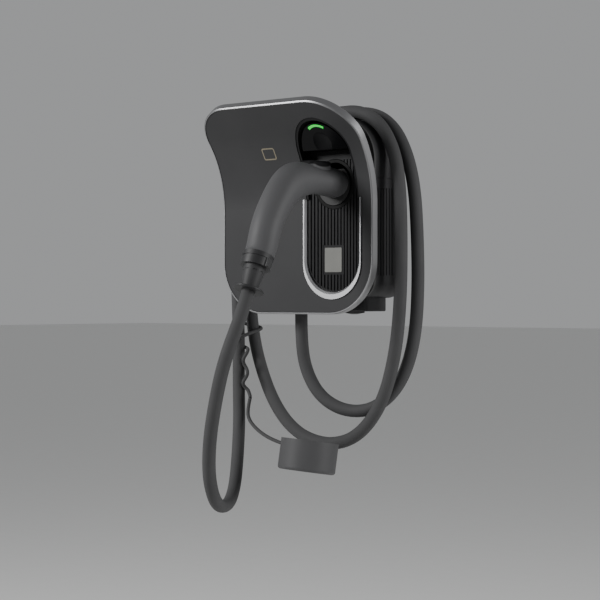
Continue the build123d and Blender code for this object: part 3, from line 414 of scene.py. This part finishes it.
def grip_finish():
    """Grey grip with painted shade laid over its raised thumb pad, which is also given a lower gloss.

    The pad is where the distance from its centre, counted in its half sizes along each axis, stays below one.
    """
    material = finish("grip_grey", (0.056, 0.056, 0.058), 0.56, grain=1200, depth=0.12, spread=0.10,
                      specular=GRIP_GLOSS)
    tree = material.node_tree
    shader = tree.nodes["Principled BSDF"]
    place = tree.nodes["Texture Coordinate"]
    offset = tree.nodes.new("ShaderNodeVectorMath")
    offset.operation = "SUBTRACT"
    offset.inputs[1].default_value = PAD_CENTRE
    share = tree.nodes.new("ShaderNodeVectorMath")
    share.operation = "DIVIDE"
    share.inputs[1].default_value = PAD_HALF
    reach = tree.nodes.new("ShaderNodeVectorMath")
    reach.operation = "LENGTH"
    # Mask of the painted shade: one on the thumb pad, nought on the rest of the grip
    pad = pad_to_grip(tree, 1.0, 0.0)
    gloss = pad_to_grip(tree, PAD_GLOSS, GRIP_GLOSS)
    # Mix that lays the painted shade over the grip's own grey on the thumb pad
    painted_shade = tree.nodes.new("ShaderNodeMix")
    painted_shade.data_type = "RGBA"
    painted_shade.inputs["B"].default_value = PAD_PAINTED_SHADE
    plain = shader.inputs["Base Color"].links[0].from_socket
    link = tree.links.new
    link(place.outputs["Object"], offset.inputs[0])
    link(offset.outputs["Vector"], share.inputs[0])
    link(share.outputs["Vector"], reach.inputs[0])
    link(reach.outputs["Value"], pad.inputs["Value"])
    link(reach.outputs["Value"], gloss.inputs["Value"])
    link(gloss.outputs["Result"], shader.inputs["Specular IOR Level"])
    link(pad.outputs["Result"], painted_shade.inputs["Factor"])
    link(plain, painted_shade.inputs["A"])
    link(painted_shade.outputs["Result"], shader.inputs["Base Color"])
    return material


# Each slot's colour, roughness and what else its finish differs in
SLOTS = {
    "galvanised_sheet": ((0.50, 0.51, 0.52), 0.42, dict(grain=160, depth=0.05, spread=0.12, metallic=0.9)),
    "screw_steel": ((0.58, 0.58, 0.60), 0.35, dict(metallic=1.0)),
    "housing_black": ((0.014, 0.014, 0.015), 0.55, dict(grain=1100, depth=0.10, specular=0.25)),
    "seal_rubber": ((0.02, 0.02, 0.02), 0.65, dict(grain=700, depth=0.08, specular=0.25)),
    "cover_black": ((0.03, 0.03, 0.03), 0.55, dict(specular=0.3)),
    "frame_metal": ((0.21, 0.21, 0.215), 0.38,
                    dict(grain=1500, depth=0.03, spread=0.06, marks=0.15, metallic=0.9)),
    "face_grey": ((0.0300, 0.0300, 0.0310), 0.50,
                  dict(grain=1300, depth=0.06, spread=0.10, marks=0.20, specular=0.10)),
    "mark_bronze": ((0.15, 0.13, 0.09), 0.45, dict(grain=900, depth=0.03, spread=0.10, specular=0.3)),
    "trim_metal": ((0.46, 0.46, 0.47), 0.36,
                   dict(grain=1500, depth=0.03, spread=0.06, marks=0.10, metallic=0.9)),
    "insert_black": ((0.0075, 0.0075, 0.0080), 0.46, dict(grain=1100, depth=0.08, specular=0.11)),
    "label_pale": ((0.125, 0.125, 0.116), 0.60, dict(grain=400, depth=0.03, spread=0.20, specular=0.2)),
    "hood_black": ((0.0026, 0.0026, 0.0030), 0.30,
                   dict(grain=1500, depth=0.02, spread=0.05, marks=0.08, specular=0.06)),
    "board_green": ((0.02, 0.11, 0.05), 0.40, dict(grain=300, depth=0.04)),
    "cup_black": ((0.0035, 0.0035, 0.0035), 0.55, dict(grain=1100, depth=0.06, specular=0.08)),
    "gland_black": ((0.016, 0.016, 0.017), 0.50, dict(grain=900, depth=0.06, specular=0.3)),
    "standoff_brass": ((0.60, 0.44, 0.20), 0.35, dict(metallic=1.0)),
    "module_grey": ((0.16, 0.16, 0.17), 0.50, dict()),
    "terminal_grey": ((0.30, 0.31, 0.32), 0.50, dict()),
    "sensor_black": ((0.03, 0.03, 0.035), 0.55, dict()),
    "coil_copper": ((0.62, 0.26, 0.13), 0.35, dict(metallic=1.0)),
    "nose_black": ((0.008, 0.008, 0.008), 0.48, dict(grain=1100, depth=0.08, specular=0.25)),
    "contact_silver": ((0.72, 0.71, 0.66), 0.28, dict(metallic=1.0)),
    "collar_black": ((0.016, 0.016, 0.017), 0.50, dict(grain=1000, depth=0.08, specular=0.25)),
    "boot_black": ((0.023, 0.023, 0.024), 0.58, dict(grain=800, depth=0.10, specular=0.25)),
    "cable_black": ((0.048, 0.048, 0.049), 0.66, dict(grain=600, depth=0.06, spread=0.15, specular=0.06)),
    "tether_black": ((0.046, 0.046, 0.047), 0.62, dict(grain=700, depth=0.06, specular=0.08)),
    "cap_grey": ((0.044, 0.044, 0.0455), 0.56, dict(grain=900, depth=0.12, specular=0.25)),
}

FINISHES = {name: finish(name, colour, rough, **more) for name, (colour, rough, more) in SLOTS.items()}
FINISHES["light_green"] = lamp_finish()
FINISHES["grip_grey"] = grip_finish()

for part in frame["record"]["subparts"]:
    data = nodes[part["node"]].data
    data.materials.clear()
    data.materials.append(FINISHES[part["material_slot"]])

for piece, name in ((cable, "cable_black"), (tether, "tether_black"), (wrap, "tether_black")):
    piece.data.materials.append(FINISHES[name])

# Pale floor and soft studio light

FLOOR_REACH = 40
FLOOR_HEIGHT = -0.95
WORLD_COLOUR = (0.80, 0.81, 0.82, 1)
WORLD_STRENGTH = 0.42
LIGHT_PLACES = {
    "key": dict(place=(-1.2, -2.1, 0.95), aim=(0, -0.1, -0.12), size=0.9, power=96),
    "side": dict(place=(2.1, 0.5, 0.3), aim=(0.1, -0.05, -0.1), size=0.9, power=44),
}

corners = [[(x, y, FLOOR_HEIGHT) for x in (-FLOOR_REACH, FLOOR_REACH)] for y in (-FLOOR_REACH, FLOOR_REACH)]
floor_data = grid_mesh("floor", corners, close_around=False)
floor = bpy.data.objects.new("floor", floor_data)
bpy.context.scene.collection.objects.link(floor)
floor_data.materials.append(finish("floor_pale", (0.80, 0.80, 0.79), 0.8, grain=40, depth=0.0, spread=0.02,
                                   marks=0.0, specular=0.1))

world = bpy.data.worlds.new("studio")
world.use_nodes = True
world.node_tree.nodes["Background"].inputs["Color"].default_value = WORLD_COLOUR
world.node_tree.nodes["Background"].inputs["Strength"].default_value = WORLD_STRENGTH
bpy.context.scene.world = world


def soft_light(name, place, aim, size, power):
    """Square area light at a place, turned to face its aim."""
    light = bpy.data.lights.new(name, "AREA")
    light.shape = "SQUARE"
    light.size = size
    light.energy = power
    lamp = bpy.data.objects.new(name, light)
    toward = np.array(aim, float) - np.array(place, float)
    flat = np.hypot(toward[0], toward[1])
    lamp.location = place
    lamp.rotation_euler = (np.arctan2(flat, -toward[2]), 0, np.arctan2(-toward[0], toward[1]))
    bpy.context.scene.collection.objects.link(lamp)


for name, settings in LIGHT_PLACES.items():
    soft_light(name, **settings)
